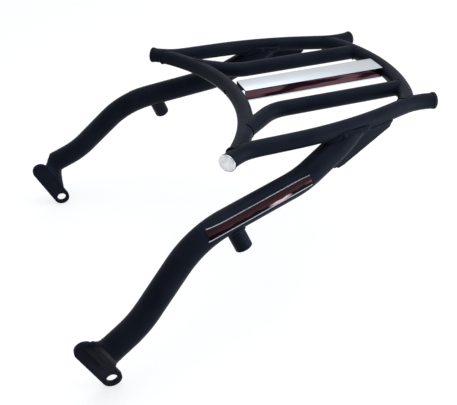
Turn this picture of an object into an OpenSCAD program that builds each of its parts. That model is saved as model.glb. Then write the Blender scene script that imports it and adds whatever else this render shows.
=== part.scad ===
// Tubular rear rack of a motorbike, the mount that carries a top box.
// X runs to the rear, Y to the right-hand side of the bike, Z up. The origin is the middle of
// the centre bar's top face, where the box sits. The rack mirrors about the plane y = 0, and
// "rack" coordinates start at the front tips of the side rails, on their centre plane.

/* [Tubes] */
// Outside diameter of the two main arms
arm_od = 25; // [22:0.5:28]
// Wall of the main arms
arm_wall = 2; // [1:0.5:3]
// Outside diameter of the rails and cross tubes
rail_od = 16; // [14:0.5:18]
// Wall of the rails and cross tubes
rail_wall = 1.5; // [1:0.25:2.5]
// Gap left under each weld
weld_gap = 0.1; // [0.05:0.05:0.3]

/* [Side rails] */
// Length of a side rail from tip to tip, along X
rail_length = 230.2; // [225:0.2:240]
// Distance from the middle plane to a rail's axis at the front tip
rail_front_y = 125.4; // [123:0.2:128]
// The same at the front flare's bend
rail_shoulder_y = 117.6; // [116:0.2:119]
// Where the front flare's bend lies along the rail
rail_shoulder_x = 25; // [22:1:28]
// The same for the long bow's corner
rail_bow_y = 115.4; // [114:0.2:117]
// Where the long bow's corner lies along the rail
rail_bow_x = 125; // [120:1:130]
// Distance from the middle plane at the rear flare's bend
rail_waist_y = 88; // [87:0.2:90]
// Where the rear flare's bend lies along the rail
rail_waist_x = 213; // [210:1:215]
// Distance from the middle plane at the rear tip
rail_rear_y = 91.2; // [90:0.2:93]
// Bend radius of the two flares
flare_radius = 60; // [50:1:70]
// Radius of the long bow
bow_radius = 390; // [360:5:400]

/* [Cross tubes] */
// Rearmost reach of the front cross tube's axis, on the middle plane
front_cross_x = 53.4; // [51:0.2:56]
// Radius of the front cross tube's arch
front_cross_radius = 195; // [190:1:200]
// Diameter of the vent hole in the front cross tube
vent_d = 5; // [4:0.5:6]
// Angle along the arch from the middle plane to the vent hole
vent_angle = 1.5; // [0:0.1:3]
// Rearmost reach of the rear cross tube's axis, on the middle plane
rear_cross_x = 228.8; // [227:0.2:231]
// Radius of the rear cross tube's middle
rear_cross_radius = 190; // [180:1:200]
// Half of the angle of its middle
rear_cross_half_angle = 19.5; // [19:0.1:20]
// Radius of its two ends
rear_cross_end_radius = 75; // [70:1:80]

/* [Inner rails] */
// Distance from the middle plane to an inner rail's straight stretch
inner_y = 52.2; // [50:0.2:54]
// Where its front bend's corner lies
inner_bend_x = 75; // [73:0.5:78]
// Angle by which its front end turns outward
inner_bend_angle = 38; // [36:0.5:40]
// Radius of that bend
inner_bend_radius = 40; // [35:1:45]

/* [Centre bar] */
// Width of the centre bar
bar_width = 26.6; // [25:0.2:28]
// Depth of the centre bar
bar_depth = 12.2; // [11:0.2:14]
// Height of its top face over the rails' axes
bar_top = 6.8; // [6:0.2:8]
// Thickness of the channel's sheet
bar_sheet = 1.6; // [1:0.1:2.5]
// Height of the bright strip on each side of the bar
bar_strip_height = 10.2; // [8:0.2:10.6]
// Thickness of the bright strip
bar_strip_sheet = 0.6; // [0.4:0.1:1]

/* [Arms] */
// Where an arm's axis meets the rail's axis, along X
arm_joint_x = 146; // [144:1:148]
// The same across, from the middle plane
arm_joint_y = 107.9; // [107:0.1:109]
// Turn of the arm's plane about the upright axis
arm_turn = 9.3; // [8:0.1:10]
// Lean of the arm's plane off upright
arm_lean = 8.9; // [8:0.1:10]
// Distance forward from the joint to the upper bend's corner, in the arm's plane
arm_upper_run = 72.6; // [72:0.2:74]
// Distance down to the same
arm_upper_drop = 39; // [38:0.2:40]
// Distance forward to the middle bend's corner
arm_middle_run = 185.7; // [185:0.1:187]
// Distance down to the same
arm_middle_drop = 62.2; // [61:0.2:63]
// Distance forward to the lower bend's corner
arm_lower_run = 252; // [251:0.2:253]
// Distance down to the same
arm_lower_drop = 127.9; // [127:0.1:129]
// Length of the arm beyond its lower bend
arm_foot = 35.6; // [35:0.2:37]
// Direction of that last length, in the arm's plane, from level
arm_foot_heading = 27.4; // [27:0.2:28]
// Radius of the lower bend
arm_lower_radius = 100; // [96:1:102]
// Radius of the middle bend
arm_middle_radius = 104; // [100:1:106]
// Radius of the upper bend
arm_upper_radius = 88; // [84:1:92]

/* [Lugs] */
// Thickness of a lug plate
lug_sheet = 4; // [3:0.5:5]
// Width of a lug plate, and the diameter of its round ends
lug_width = 19.2; // [18:0.2:22]
// Distance between the centres of its round ends
lug_length = 47.5; // [46:0.5:50]
// Forward tilt of a lug plate off upright
lug_tilt = 25; // [24:0.5:26]
// Diameter of the lug's fixing hole
lug_hole_d = 11; // [10:0.1:11.5]
// How far the fixing hole lies in front of the side rails' front tips
lug_hole_ahead = 130.6; // [130:0.2:132]
// Distance of the plate's middle from the middle plane, at the hole
lug_hole_y = 164.2; // [163.6:0.2:164.8]
// Drop of the hole below the rails' axes
lug_hole_drop = 188.6; // [188:0.2:190]
// Diameter of the collar on the arm's lower end
collar_d = 29; // [28:0.5:31]
// Length of the collar
collar_length = 7.2; // [7:0.1:8]

/* [Stub bosses] */
// Outside diameter of a stub boss
stub_od = 17; // [15:0.5:18]
// Bore of a stub boss
stub_bore = 11; // [10:0.1:12]
// Length of a stub boss from the arm's axis
stub_length = 31.4; // [29:0.2:33]
// Depth of its bore
stub_depth = 16; // [12:0.5:17]
// Distance forward from the joint to where a stub's axis meets the arm's, in the arm's plane
stub_run = 151.5; // [150:0.5:154]
// Distance down to the same
stub_drop = 55.2; // [54.8:0.1:55.8]
// Rearward tilt of a stub in the arm's plane
stub_tilt = 18.2; // [16:0.2:20]
// Outward tilt of a stub
stub_splay = 8; // [6:0.5:10]

/* [Gussets] */
// Thickness of a gusset plate
gusset_sheet = 5; // [4:0.5:6]
// Distance of the plate's middle from the arm's joint, outward
gusset_out = 2.8; // [2:0.2:3.2]
// Turn of a gusset plate about the upright axis
gusset_turn = 14.5; // [13:0.5:16]
// Reach of the plate behind the arm's joint
gusset_rear = 35; // [34:0.2:38]
// Reach of the plate in front of the arm's joint
gusset_front = 38; // [36:0.2:39]
// Depth of the plate below the rail's axis
gusset_depth = 37; // [36:0.2:40]

/* [Trim] */
// Diameter of an end cap's flange
cap_d = 17.2; // [16.6:0.1:18.5]
// Thickness of the flange
cap_flange = 3; // [2:0.5:4]
// Depth of the cap's spigot inside the tube
cap_spigot = 10; // [6:1:14]
// Play between the spigot and the tube's bore
cap_play = 0.1; // [0.05:0.05:0.2]
// Distance from the arm's middle bend's corner to the label strip's front end
label_start = 8; // [6:1:12]
// The same to its rear end
label_end = 118; // [112:1:120]
// Angle of the label's middle round the arm, from the top outward
label_angle = 60; // [55:1:65]
// Height of the label, measured round the arm
label_height = 9.4; // [8:0.2:11]
// Thickness of the label
label_sheet = 0.5; // [0.3:0.1:0.8]

/* [Hidden] */
$fn = 48;
powder_black = "#181c26";
bright_metal = "#c9ccd2";
mirror_strip = "#6d5b62";
// Extra length by which a cutting tool passes its work
over = 2;
// How far a straight runs into the bend next to it, and how much thicker the bend is a side
seam_overlap = 0.4;
seam_step = 0.02;
// Where the seam lines of tubes lie round them, from the underside, so that no two of them meet
main_seam = 30;
cross_seam = 60;
// Radii used throughout
arm_r = arm_od / 2;
rail_r = rail_od / 2;
// Middle of the bar along the rack, which is the origin
bar_front_x = front_cross_x + rail_r;
bar_rear_x = rear_cross_x - rail_r;
seat = [(bar_front_x + bar_rear_x) / 2, 0, bar_top];

// Direction in degrees from one plane point to another
function heading(a, b) = atan2(b.y - a.y, b.x - a.x);
// Unit vector of a direction in degrees
function way(angle) = [cos(angle), sin(angle)];
// Turn at corner i of a path, positive to the left, between -180 and 180
function turn_at(path, i) =
    let (t = heading(path[i], path[i + 1]) - heading(path[i - 1], path[i]))
    t > 180 ? t - 360 : t < -180 ? t + 360 : t;
// Length that the bend at corner i takes from the straight on each side of it
function bend_reach(path, radii, i) =
    (i == 0 || i == len(path) - 1) ? 0 : radii[i - 1] * abs(tan(turn_at(path, i) / 2));
// A path with both ends made longer by extra
function longer(path, extra) =
    let (last = len(path) - 1)
    [for (i = [0:last])
        i == 0 ? path[0] - extra * way(heading(path[0], path[1]))
        : i == last ? path[last] + extra * way(heading(path[last - 1], path[last]))
        : path[i]];

// A solid round bar along a path of straights and round bends in the XY plane. The straights
// run a little way into the bends, which are a hair thicker. All circles start at one seam line.
module rod(path, radii, d, seam = main_seam) {
    last = len(path) - 2;
    for (i = [0:last]) {
        angle = heading(path[i], path[i + 1]);
        lead = bend_reach(path, radii, i) - (i == 0 ? 0 : seam_overlap);
        tail = bend_reach(path, radii, i + 1) - (i == last ? 0 : seam_overlap);
        start = path[i] + lead * way(angle);
        translate([start.x, start.y, 0])
            rotate([0, 90, angle])
                rotate(seam)
                    cylinder(h = norm(path[i + 1] - path[i]) - lead - tail, d = d);
    }
    for (i = [1:last]) {
        angle = heading(path[i - 1], path[i]);
        turn = turn_at(path, i);
        side = sign(turn);
        start = path[i] - bend_reach(path, radii, i) * way(angle);
        centre = start + side * radii[i - 1] * way(angle + 90);
        translate([centre.x, centre.y, 0])
            rotate([0, 0, side > 0 ? angle - 90 : angle + 90 + turn])
                rotate_extrude(angle = abs(turn), $fn = 96)
                    translate([radii[i - 1], 0])
                        rotate(-90 - side * seam)
                            circle(d = d + 2 * seam_step);
    }
}

// A bent tube along a path, open at both ends
module tube(path, radii, od, wall, seam = main_seam) {
    difference() {
        rod(path, radii, od, seam);
        rod(longer(path, over), radii, od - 2 * wall, seam);
    }
}

// Puts what is drawn in rack coordinates into the part's own frame
module rack() {
    translate(-seat) children();
}

// Draws the left side as it is, and the right side as its mirror image
module on_side(side) {
    if (side == "left") children();
    else mirror([0, 1, 0]) children();
}

// The left side rail's axis: tip, flare, long bow, flare, tip. The caps end the rail.
rail_path = [
    [cap_flange, -rail_front_y],
    [rail_shoulder_x, -rail_shoulder_y],
    [rail_bow_x, -rail_bow_y],
    [rail_waist_x, -rail_waist_y],
    [rail_length + cap_flange, -rail_rear_y]
];
rail_radii = [flare_radius, bow_radius, flare_radius];

// Direction, from the middle of a circle, of the point where it meets the line through p and q
function meeting_way(middle, radius, p, q) =
    let (across = heading(p, q) + 90)
    across - acos((p - middle) * way(across) / radius);
// A point of the rail's axis, on the bike's right
function on_right(point) = [point.x, -point.y];
// How far a cross tube's last straight passes the side rail's axis, inside the rail
cross_end = 0.4;

// The arch of the front cross tube ends on the side rails' axes
front_cross_half_angle = meeting_way([front_cross_x - front_cross_radius, 0], front_cross_radius,
    on_right(rail_path[0]), on_right(rail_path[1]));
front_cross_leg = front_cross_radius * tan(front_cross_half_angle) + cross_end;
front_cross_corner = front_cross_x + front_cross_radius * (1 / cos(front_cross_half_angle) - 1);
front_cross_path = [
    [front_cross_corner, 0] + front_cross_leg * way(180 + 90 - front_cross_half_angle),
    [front_cross_corner, 0],
    [front_cross_corner, 0] + front_cross_leg * way(90 + front_cross_half_angle)
];

// The rear cross tube's two end bends do the same, after a short straight on each side of its middle
rear_cross_link = 1;
rear_cross_end_middle = [rear_cross_x - rear_cross_radius, 0]
    + (rear_cross_radius - rear_cross_end_radius) * way(rear_cross_half_angle)
    + rear_cross_link * way(rear_cross_half_angle + 90);
rear_cross_end_angle = meeting_way(rear_cross_end_middle, rear_cross_end_radius,
    on_right(rail_path[2]), on_right(rail_path[3]));
rear_cross_corner = rear_cross_x + rear_cross_radius * (1 / cos(rear_cross_half_angle) - 1);
rear_cross_turn = rear_cross_end_angle - rear_cross_half_angle;
rear_cross_leg = rear_cross_radius * tan(rear_cross_half_angle)
    + rear_cross_end_radius * tan(rear_cross_turn / 2) + rear_cross_link;
rear_cross_tail = rear_cross_end_radius * tan(rear_cross_turn / 2) + cross_end;
rear_cross_bend = [rear_cross_corner, 0] + rear_cross_leg * way(270 - rear_cross_half_angle);
rear_cross_end = rear_cross_bend + rear_cross_tail * way(270 - rear_cross_end_angle);
rear_cross_path = [
    rear_cross_end,
    rear_cross_bend,
    [rear_cross_corner, 0],
    [rear_cross_bend.x, -rear_cross_bend.y],
    [rear_cross_end.x, -rear_cross_end.y]
];
rear_cross_radii = [rear_cross_end_radius, rear_cross_radius, rear_cross_end_radius];

// The left inner rail's axis. Each end lies on the axis of the cross tube that it is notched to.
inner_front_way = meeting_way([front_cross_x - front_cross_radius, 0], front_cross_radius,
    [inner_bend_x, inner_y], [inner_bend_x, inner_y] + way(-inner_bend_angle));
inner_path = [
    [front_cross_x - front_cross_radius, 0] + front_cross_radius * way(-inner_front_way),
    [inner_bend_x, -inner_y],
    [rear_cross_x - rear_cross_radius + sqrt(rear_cross_radius ^ 2 - inner_y ^ 2), -inner_y]
];

// The left arm's axis, in its own plane, from the lug up to the rail
arm_upper = [-arm_upper_run, -arm_upper_drop];
arm_middle = [-arm_middle_run, -arm_middle_drop];
arm_lower = [-arm_lower_run, -arm_lower_drop];
arm_radii = [arm_lower_radius, arm_middle_radius, arm_upper_radius];
arm_path = [
    arm_lower - arm_foot * way(arm_foot_heading),
    arm_lower,
    arm_middle,
    arm_upper,
    [0, 0]
];

// Takes the arm's own plane to rack coordinates, on the left
module arm_plane() {
    translate([arm_joint_x, -arm_joint_y, 0])
        rotate([90 - arm_lean, 0, arm_turn])
            children();
}

// The room that a welded part leaves for the left side rail
module left_rail_room() {
    rod(rail_path, rail_radii, rail_od + 2 * weld_gap);
}

// The same for the cap on its front tip
module left_cap_room() {
    translate([rail_path[0].x, rail_path[0].y, 0])
        rotate([0, 90, heading(rail_path[1], rail_path[0])])
            cylinder(h = cap_flange + over, d = cap_d + 2 * weld_gap);
}

// The same for the left arm
module left_arm_room() {
    arm_plane() rod(arm_path, arm_radii, arm_od + 2 * weld_gap);
}

// The same for both cross tubes
module cross_tube_room() {
    rod(front_cross_path, [front_cross_radius], rail_od + 2 * weld_gap, cross_seam);
    rod(rear_cross_path, rear_cross_radii, rail_od + 2 * weld_gap, cross_seam);
}

// One side rail, a bent tube open at both tips
module side_rail(side) {
    color(powder_black)
        rack()
            on_side(side)
                tube(rail_path, rail_radii, rail_od, rail_wall);
}

// The arched tube between the side rails at the front, notched to fit them, with its vent hole
module front_cross_tube() {
    color(powder_black)
        rack()
            difference() {
                tube(front_cross_path, [front_cross_radius], rail_od, rail_wall, cross_seam);
                left_rail_room();
                left_cap_room();
                on_side("right") left_rail_room();
                on_side("right") left_cap_room();
                translate([front_cross_x - front_cross_radius, 0, 0])
                    rotate([0, 0, vent_angle])
                        translate([front_cross_radius, 0, 0])
                            rotate([0, -90, 0])
                                cylinder(h = rail_r + over, d = vent_d);
            }
}

// The arched tube between the side rails at the rear, notched to fit them
module rear_cross_tube() {
    color(powder_black)
        rack()
            difference() {
                tube(rear_cross_path, rear_cross_radii, rail_od, rail_wall, cross_seam);
                left_rail_room();
                on_side("right") left_rail_room();
            }
}

// One inner rail, between the cross tubes and notched to fit them
module inner_rail(side) {
    color(powder_black)
        rack()
            on_side(side)
                difference() {
                    tube(inner_path, [inner_bend_radius], rail_od, rail_wall);
                    cross_tube_room();
                }
}

// The centre bar: a channel open below, notched to fit the cross tubes
module centre_bar() {
    inside = bar_width - 2 * bar_sheet;
    length = bar_rear_x - bar_front_x + rail_od;
    color(bright_metal)
        rack()
            difference() {
                translate([bar_front_x - rail_r, -bar_width / 2, bar_top - bar_depth])
                    cube([length, bar_width, bar_depth]);
                translate([bar_front_x - rail_od, -inside / 2, bar_top - bar_depth - over])
                    cube([length + rail_od, inside, bar_depth - bar_sheet + over]);
                cross_tube_room();
                translate([0, -bar_width, -rail_od])
                    cube([bar_front_x, 2 * bar_width, 2 * rail_od]);
                translate([bar_rear_x, -bar_width, -rail_od])
                    cube([rail_od * 2, 2 * bar_width, 2 * rail_od]);
            }
}

// The bright strip on one side of the centre bar
module bar_strip(side) {
    margin = 0.8;
    below_top = 0.4;
    low = bar_top - below_top - bar_strip_height;
    color(mirror_strip)
        rack()
            on_side(side)
                translate([bar_front_x + margin, -bar_width / 2 - bar_strip_sheet, low])
                    cube([bar_rear_x - bar_front_x - 2 * margin, bar_strip_sheet, bar_strip_height]);
}

// One arm: a tube bent in one plane, cut off level in the rail's lower half and notched to it
module arm(side) {
    color(powder_black)
        rack()
            on_side(side)
                difference() {
                    arm_plane() tube(arm_path, arm_radii, arm_od, arm_wall);
                    left_rail_room();
                    translate([0, -2 * arm_joint_y, -rail_r / 3])
                        cube([rail_length, 2 * arm_joint_y, arm_od]);
                }
}

// Places what follows on the arm's lower end, with +Z out of it along its axis
module arm_end_frame() {
    foot = arm_path[0];
    arm_plane()
        translate([foot.x, foot.y, 0])
            rotate([0, -90, arm_foot_heading])
                children();
}

// The solid of a collar
module collar_solid() {
    rack() arm_end_frame() cylinder(h = collar_length, d = collar_d);
}

// The collar that closes an arm's lower end, with a spigot in the tube
module arm_collar(side) {
    spigot = 6;
    color(powder_black)
        on_side(side) {
            collar_solid();
            rack()
                arm_end_frame()
                    translate([0, 0, -spigot])
                        cylinder(h = spigot, d = arm_od - 2 * arm_wall - 2 * cap_play);
        }
}

// One lug plate: round ended, upright across the bike, welded edge on to the collar
module lug_plate(side) {
    color(powder_black)
        on_side(side)
            difference() {
                rack()
                    translate([-lug_hole_ahead, lug_sheet / 2 - lug_hole_y, -lug_hole_drop])
                        rotate([90, -lug_tilt, 0])
                            linear_extrude(lug_sheet)
                                difference() {
                                    union() {
                                        circle(d = lug_width);
                                        translate([0, lug_length]) circle(d = lug_width);
                                        translate([-lug_width / 2, 0])
                                            square([lug_width, lug_length]);
                                    }
                                    circle(d = lug_hole_d);
                                }
                collar_solid();
            }
}

// One stub boss: a short thick tube under the arm, notched to fit it
module stub_boss(side) {
    color(powder_black)
        rack()
            on_side(side)
                difference() {
                    stub_frame() cylinder(h = stub_length, d = stub_od);
                    stub_frame()
                        translate([0, 0, stub_length - stub_depth])
                            cylinder(h = stub_depth + over, d = stub_bore);
                    left_arm_room();
                }
}

// Places what follows on the arm's axis, with +Z out along the left stub
module stub_frame() {
    arm_plane()
        translate([-stub_run, -stub_drop, 0])
            rotate([0, 0, stub_tilt])
                rotate([90 - stub_splay, 0, 0])
                    children();
}

// One gusset: a plate in the corner between rail and arm. Its outline starts at the arm's joint,
// and its rear and lower corners are cut off.
module gusset(side) {
    rear_edge = 7.4;
    rear_cut = [2.8, 5];
    front_edge = 20;
    front_cut = [1, 2.8];
    toe_front = 6.5;
    toe_rear = [13.3, 1.4];
    outline = [
        [0, 0],
        [gusset_rear, 0],
        [gusset_rear, -rear_edge],
        [gusset_rear - rear_cut.x, -rear_edge - rear_cut.y],
        [toe_rear.x - gusset_front, toe_rear.y - gusset_depth],
        [toe_front - gusset_front, -gusset_depth],
        [front_cut.x - gusset_front, front_cut.y - gusset_depth],
        [-gusset_front, -front_edge]
    ];
    color(powder_black)
        rack()
            on_side(side)
                difference() {
                    translate([arm_joint_x, -arm_joint_y, 0])
                        rotate([90, 0, gusset_turn])
                            translate([0, 0, gusset_out - gusset_sheet / 2])
                                linear_extrude(gusset_sheet)
                                    polygon(outline);
                    left_rail_room();
                    left_arm_room();
                }
}

// Points of a path's round bend i, shifted to its left by a distance, in steps of a few degrees.
// None lies on the bend's own ends.
function bend_points(path, radii, i, shift) =
    let (angle = heading(path[i - 1], path[i]))
    let (turn = turn_at(path, i))
    let (start = path[i] - bend_reach(path, radii, i) * way(angle))
    let (centre = start + sign(turn) * radii[i - 1] * way(angle + 90))
    let (r = radii[i - 1] - sign(turn) * shift)
    let (steps = ceil(abs(turn) / 3))
    [for (k = [0.5:steps]) centre + r * way(angle - sign(turn) * 90 + turn * k / steps)];

// The same for the arm's middle and upper bends together
function arm_edge(shift) =
    concat(bend_points(arm_path, arm_radii, 2, shift), bend_points(arm_path, arm_radii, 3, shift));

// One label strip, bent to the arm's outer side. The window cuts it out of a thin sleeve.
module arm_label(side) {
    half = label_height / arm_r * 90 / PI;
    low = arm_r * cos(label_angle + half);
    high = (arm_r + label_sheet) * cos(label_angle - half);
    along = heading(arm_middle, arm_upper);
    lower_edge = arm_edge(low);
    back = [for (i = [len(lower_edge) - 1:-1:0]) lower_edge[i]];
    color(mirror_strip)
        rack()
            on_side(side)
                arm_plane()
                    intersection() {
                        difference() {
                            rod(arm_path, arm_radii, arm_od + 2 * label_sheet);
                            rod(arm_path, arm_radii, arm_od + 2 * seam_step);
                        }
                        linear_extrude(arm_od) polygon(concat(arm_edge(high), back));
                        translate([arm_middle.x, arm_middle.y, 0])
                            rotate([0, 0, along])
                                translate([label_start, -arm_od, 0])
                                    cube([label_end - label_start, 2 * arm_od, arm_od]);
                    }
}

// A turned cap with a chamfered flange and a spigot, drawn with +Z out of the tube
module end_cap() {
    chamfer = 0.8;
    spigot_r = rail_r - rail_wall - cap_play;
    cap_r = cap_d / 2;
    rotate_extrude()
        polygon([
            [0, -cap_spigot],
            [spigot_r - chamfer, -cap_spigot],
            [spigot_r, chamfer - cap_spigot],
            [spigot_r, 0],
            [cap_r, 0],
            [cap_r, cap_flange - chamfer],
            [cap_r - chamfer, cap_flange],
            [0, cap_flange]
        ]);
}

// The cap on a side rail's front tip
module front_cap(side) {
    angle = heading(rail_path[1], rail_path[0]);
    color(bright_metal)
        rack()
            on_side(side)
                translate([rail_path[0].x, rail_path[0].y, 0])
                    rotate([0, 90, angle])
                        end_cap();
}

// The cap on a side rail's rear tip
module rear_cap(side) {
    last = len(rail_path) - 1;
    angle = heading(rail_path[last - 1], rail_path[last]);
    color(powder_black)
        rack()
            on_side(side)
                translate([rail_path[last].x, rail_path[last].y, 0])
                    rotate([0, 90, angle])
                        end_cap();
}

front_cross_tube();
rear_cross_tube();
centre_bar();
side_rail("left");  // left_side_rail
side_rail("right");  // right_side_rail
inner_rail("left");  // left_inner_rail
inner_rail("right");  // right_inner_rail
arm("left");  // left_arm
arm("right");  // right_arm
arm_collar("left");  // left_arm_collar
arm_collar("right");  // right_arm_collar
lug_plate("left");  // left_lug_plate
lug_plate("right");  // right_lug_plate
stub_boss("left");  // left_stub_boss
stub_boss("right");  // right_stub_boss
gusset("left");  // left_gusset
gusset("right");  // right_gusset
arm_label("left");  // left_arm_label
arm_label("right");  // right_arm_label
bar_strip("left");  // left_bar_strip
bar_strip("right");  // right_bar_strip
front_cap("left");  // left_front_cap
front_cap("right");  // right_front_cap
rear_cap("left");  // left_rear_cap
rear_cap("right");  // right_rear_cap
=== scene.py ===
"""Looks of a motorbike's top box mount: bent tubes in black powder coat, and an aluminium centre bar.

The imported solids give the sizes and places. This script dresses them, lays weld beads along the
notches where one part meets another, rounds the edges of the plates, sweeps the arms' tops and the
rails' front tips, turns the bright end caps, and lays the label strips with their silver lines.
"""

import logging
import math
import random
from dataclasses import dataclass
from enum import Enum
from typing import Callable, Sequence

import bmesh
import bpy
import numpy as np
from mathutils import Matrix, Vector
from mathutils.bvhtree import BVHTree


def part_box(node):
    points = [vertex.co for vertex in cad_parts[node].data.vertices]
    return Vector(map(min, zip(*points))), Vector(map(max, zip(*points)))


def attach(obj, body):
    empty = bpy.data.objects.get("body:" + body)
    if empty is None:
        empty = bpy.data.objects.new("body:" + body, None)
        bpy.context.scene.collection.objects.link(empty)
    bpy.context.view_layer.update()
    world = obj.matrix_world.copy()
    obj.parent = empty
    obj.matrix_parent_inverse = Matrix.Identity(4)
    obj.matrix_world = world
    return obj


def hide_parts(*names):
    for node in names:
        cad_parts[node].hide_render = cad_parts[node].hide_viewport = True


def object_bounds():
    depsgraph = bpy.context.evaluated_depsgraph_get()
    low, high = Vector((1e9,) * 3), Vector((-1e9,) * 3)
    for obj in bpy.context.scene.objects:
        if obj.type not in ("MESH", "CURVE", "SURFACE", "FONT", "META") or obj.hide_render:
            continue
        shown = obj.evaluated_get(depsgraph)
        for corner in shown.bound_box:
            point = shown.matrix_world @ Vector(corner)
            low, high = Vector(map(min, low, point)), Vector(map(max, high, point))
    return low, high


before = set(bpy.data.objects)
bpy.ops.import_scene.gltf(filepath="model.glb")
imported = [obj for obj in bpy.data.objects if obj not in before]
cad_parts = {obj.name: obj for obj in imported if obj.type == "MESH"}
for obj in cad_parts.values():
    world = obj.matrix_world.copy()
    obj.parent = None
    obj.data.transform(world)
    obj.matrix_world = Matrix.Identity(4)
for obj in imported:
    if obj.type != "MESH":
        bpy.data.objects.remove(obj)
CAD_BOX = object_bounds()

LOG = logging.getLogger("top_box_mount")
MM = 0.001
ROOT_BODY = "root"

Colour = tuple[float, float, float]
Point = tuple[float, float, float]
Span = tuple[float, float]
Socket = bpy.types.NodeSocket
Object = bpy.types.Object
Mesh = bpy.types.Mesh

WHITE: Colour = (1.0, 1.0, 1.0)
BLACK: Colour = (0.0, 0.0, 0.0)
NOISE_MIDDLE: Span = (0.3, 0.7)
SHARP_ANGLE = math.radians(40.0)
KEYS_A_METRE = 100000
OFF_EVERY_SEAM: Point = (0.13, 0.31, 0.94)


class Side(Enum):
    """The two mirror halves of the rack, as the bike's rider sees them."""

    LEFT = "left"
    RIGHT = "right"

    def flip(self, point: Vector) -> Vector:
        """Takes a point of the left half to this half, or back."""
        return point if self is Side.LEFT else Vector((point.x, -point.y, point.z))


class Slot(Enum):
    """The record's material slots."""

    POWDER = "powder_black"
    BRIGHT = "bright_aluminium"
    TURNED = "turned_aluminium"
    MIRROR = "mirror_strip"


class Graph:
    """A node tree, with short calls for the nodes that the finishes and the studio share."""

    def __init__(self, owner: bpy.types.Material | bpy.types.World) -> None:
        """Empties the owner's tree.

        Args:
            owner: the material or the world that the tree belongs to.
        """
        owner.use_nodes = True
        self.tree = owner.node_tree
        self.tree.nodes.clear()

    def add(self, kind: str) -> bpy.types.Node:
        """Adds a node of a kind."""
        return self.tree.nodes.new(kind)

    def join(self, source: Socket, target: Socket) -> None:
        """Links one socket to another."""
        self.tree.links.new(source, target)

    def noise(self, place: Socket, scale: float, detail: float) -> Socket:
        """A noise pattern.

        Args:
            place: the coordinates that it reads.
            scale: its features a metre.
            detail: how many finer layers it has.

        Returns:
            Its value, around one half.
        """
        node = self.add("ShaderNodeTexNoise")
        node.inputs["Scale"].default_value = scale
        node.inputs["Detail"].default_value = detail
        self.join(place, node.inputs["Vector"])
        return node.outputs["Fac"]

    def ramp(self, value: Socket, stops: Sequence[tuple[float, Colour]]) -> Socket:
        """Colours a value by a row of stops.

        Args:
            value: the value that picks the colour.
            stops: places from 0 to 1, each with its colour.

        Returns:
            The colour.
        """
        node = self.add("ShaderNodeValToRGB")
        elements = node.color_ramp.elements
        while len(elements) < len(stops):
            elements.new(0.5)
        for element, (place, colour) in zip(elements, stops):
            element.position = place
            element.color = (*colour, 1.0)
        self.join(value, node.inputs["Fac"])
        return node.outputs["Color"]

    def map_range(self, value: Socket, source: Span, target: Span) -> Socket:
        """Maps one range of numbers to another.

        Args:
            value: the number.
            source: the ends of its own range.
            target: what they become.

        Returns:
            The mapped number.
        """
        node = self.add("ShaderNodeMapRange")
        for name, number in zip(("From Min", "From Max", "To Min", "To Max"), (*source, *target)):
            node.inputs[name].default_value = number
        self.join(value, node.inputs["Value"])
        return node.outputs["Result"]

    def spread(self, value: Socket, low: float, high: float) -> Socket:
        """Maps the middle of a noise to a range of numbers."""
        return self.map_range(value, NOISE_MIDDLE, (low, high))

    def attribute(self, name: str) -> Socket:
        """A number that the mesh keeps for each vertex.

        Args:
            name: the attribute's name.

        Returns:
            The number.
        """
        node = self.add("ShaderNodeAttribute")
        node.attribute_name = name
        return node.outputs["Fac"]

    def blend(self, operation: str, first: Socket, second: Socket | float) -> Socket:
        """Joins two values by one sum.

        Args:
            operation: the sum's kind, as the maths node names it.
            first: one value.
            second: the other, or a plain number.

        Returns:
            The result.
        """
        node = self.add("ShaderNodeMath")
        node.operation = operation
        self.join(first, node.inputs[0])
        if isinstance(second, float):
            node.inputs[1].default_value = second
        else:
            self.join(second, node.inputs[1])
        return node.outputs[0]

    def mix(self, share: Socket, under: Socket, over: Colour) -> Socket:
        """Lays a plain colour over another.

        Args:
            share: how much of the plain colour shows.
            under: the colour below.
            over: the plain colour.

        Returns:
            The mixed colour.
        """
        node = self.add("ShaderNodeMix")
        node.data_type = "RGBA"
        self.join(share, node.inputs["Factor"])
        self.join(under, node.inputs["A"])
        node.inputs["B"].default_value = (*over, 1.0)
        return node.outputs["Result"]


class FinishGraph(Graph):
    """The nodes of a finish, which end in one plain shader."""

    def __init__(self, material: bpy.types.Material) -> None:
        """Joins a plain shader to the material's output.

        Args:
            material: the material that the graph belongs to.
        """
        super().__init__(material)
        self.shader = self.add("ShaderNodeBsdfPrincipled")
        output = self.add("ShaderNodeOutputMaterial")
        self.join(self.shader.outputs["BSDF"], output.inputs["Surface"])
        self.place = self.add("ShaderNodeTexCoord").outputs["Object"]

    def set(self, **values: float) -> None:
        """Sets the shader's own sockets, named with underscores for spaces."""
        for name, value in values.items():
            self.shader.inputs[name.replace("_", " ")].default_value = value

    def dress(self, colour: Socket, roughness: Socket) -> None:
        """Gives the shader its colour and its roughness."""
        self.join(colour, self.shader.inputs["Base Color"])
        self.join(roughness, self.shader.inputs["Roughness"])

    def stretched(self, scale: Point) -> Socket:
        """The object's coordinates, scaled apart along each axis.

        Args:
            scale: factors along X, Y and Z.

        Returns:
            The scaled coordinates.
        """
        mapping = self.add("ShaderNodeMapping")
        mapping.inputs["Scale"].default_value = scale
        self.join(self.place, mapping.inputs["Vector"])
        return mapping.outputs["Vector"]

    def bump(self, layers: Sequence[tuple[Socket, float]]) -> None:
        """Gives the shader a bump of several layers.

        Args:
            layers: heights, each with its depth in metres.
        """
        normal = None
        for height, depth in layers:
            node = self.add("ShaderNodeBump")
            node.inputs["Strength"].default_value = 1.0
            node.inputs["Distance"].default_value = depth
            self.join(height, node.inputs["Height"])
            if normal is not None:
                self.join(normal, node.inputs["Normal"])
            normal = node.outputs["Normal"]
        self.join(normal, self.shader.inputs["Normal"])


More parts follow.
